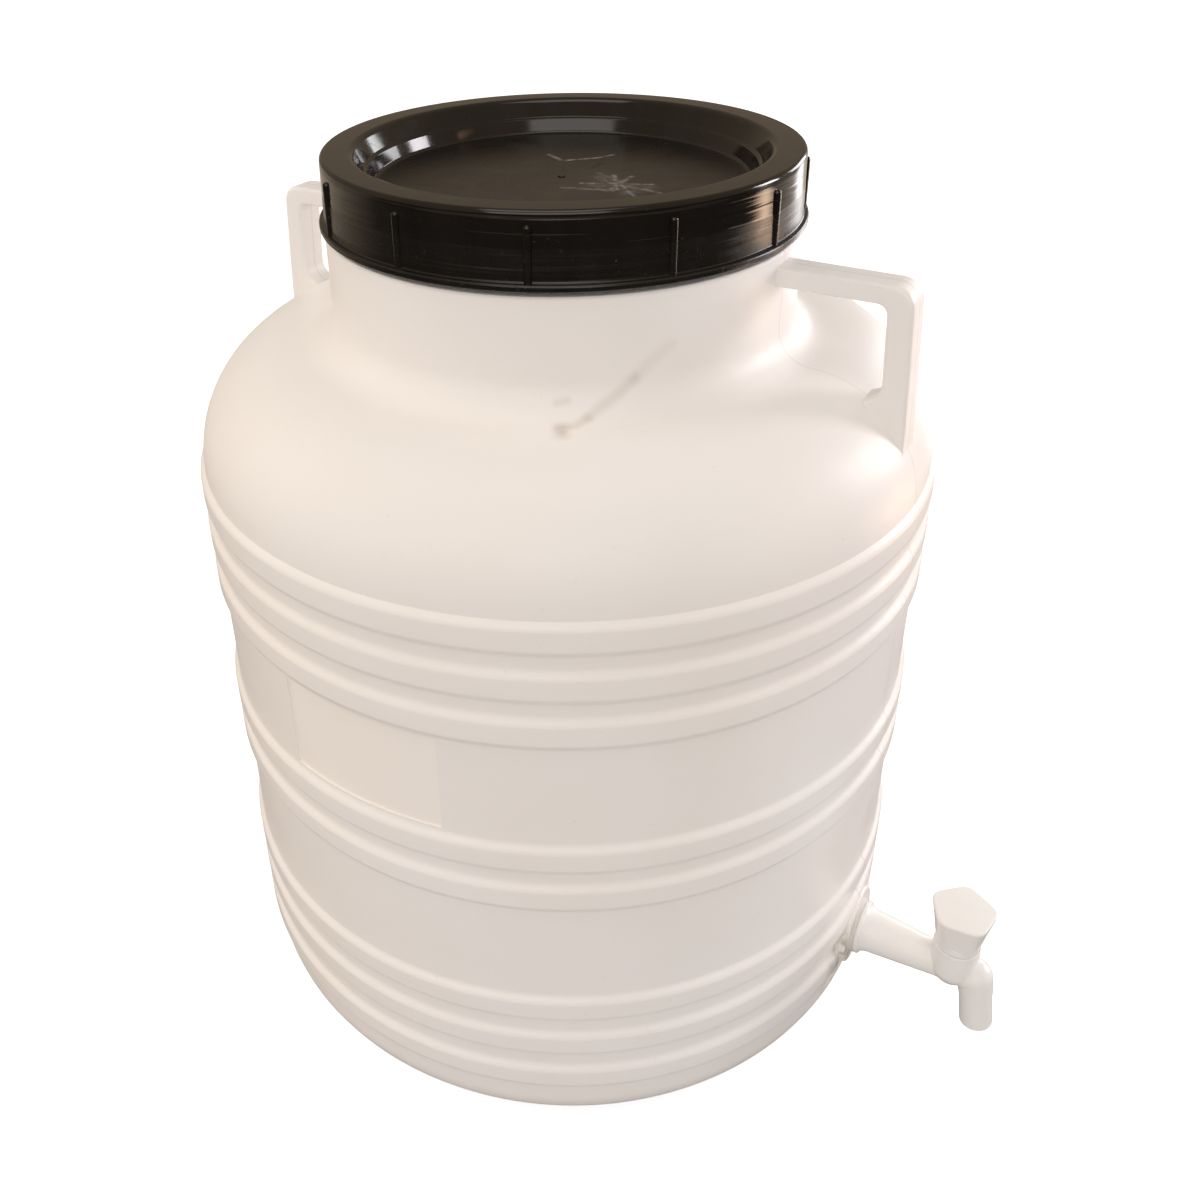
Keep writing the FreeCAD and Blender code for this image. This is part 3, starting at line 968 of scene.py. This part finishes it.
# A square-cornered lamp at a turn and rise in degrees about the drum's middle, which it faces
def lamp(name, turn, rise, distance, size, power, colour):
    light = bpy.data.lights.new(name, "AREA")
    light.shape = "RECTANGLE"
    light.size, light.size_y = size
    light.energy = power
    light.color = colour
    holder = bpy.data.objects.new(name, light)
    bpy.context.scene.collection.objects.link(holder)
    turn, rise = math.radians(turn), math.radians(rise)
    middle = Vector((0, 0, 0.3))
    aim = Vector((math.cos(turn) * math.cos(rise), math.sin(turn) * math.cos(rise), math.sin(rise)))
    facing = (-aim).to_track_quat("-Z", "Y").to_matrix().to_4x4()
    holder.matrix_world = Matrix.Translation(middle + aim * distance) @ facing
    return holder


def studio():
    bpy.ops.object.select_all(action="DESELECT")
    bpy.ops.mesh.primitive_plane_add(size=24.0, location=(0, 0, -0.0005))
    floor = bpy.context.object
    floor.name = "floor"
    floor.data.materials.append(floor_paper())
    world = bpy.data.worlds.new("studio")
    bpy.context.scene.world = world
    world.use_nodes = True
    tree = world.node_tree
    rays = tree.nodes.new("ShaderNodeLightPath")
    room = tint(tree, rays.outputs["Is Glossy Ray"], (0.545, 0.51, 0.475, 1), (0.27, 0.21, 0.15, 1))
    room = tint(tree, rays.outputs["Is Camera Ray"], room, (1, 1, 1, 1))
    put(tree, tree.nodes["Background"].inputs["Color"], room)
    lamp("window", 45, 12, 2.5, (0.6, 1.0), 24, (1.0, 0.95, 0.99))
    lamp("far_window", 76, 8, 2.5, (1.0, 0.8), 13, (0.96, 0.97, 1.0))
    left = lamp("left", -160, 24, 2.4, (1.4, 1.4), 18, (1.0, 0.85, 0.69))
    left.visible_glossy = False
    lamp("front", -66, 26, 2.6, (2.4, 1.6), 16, (1.0, 0.97, 0.95))
    lamp("top", -75, 74, 2.4, (1.6, 1.6), 10, (1.0, 0.96, 0.92))


plastic = milky_plastic()
gloss = black_gloss()
moulded = white_moulded()
dark_rubber = rubber("seal_rubber", (0.02, 0.02, 0.02, 1), (0.05, 0.05, 0.05, 1), 0.6)
light_rubber = rubber("pale_rubber", (0.70, 0.67, 0.63, 1), (0.78, 0.75, 0.71, 1), 0.5)

paint(drum_shell(), plastic)
paint(thread("neck_thread", 0.1002, 0.1032, 0.4125, 1.4, "drum"), plastic)
paint(lid_shell(), gloss)
paint(thread("lid_thread", 0.105, 0.1021, 0.4185, 1.0, "lid"), gloss)
paint(tap_shell(), moulded)
paint(knob_shell(), moulded)
for name in ("tap_plug", "tap_lock_nut"):
    paint(nodes[name], moulded)
for name in ("tap_outer_gasket", "tap_inner_gasket"):
    paint(nodes[name], light_rubber)
paint(nodes["lid_gasket"], dark_rubber)

studio()
bpy.context.scene.view_settings.view_transform = "Standard"
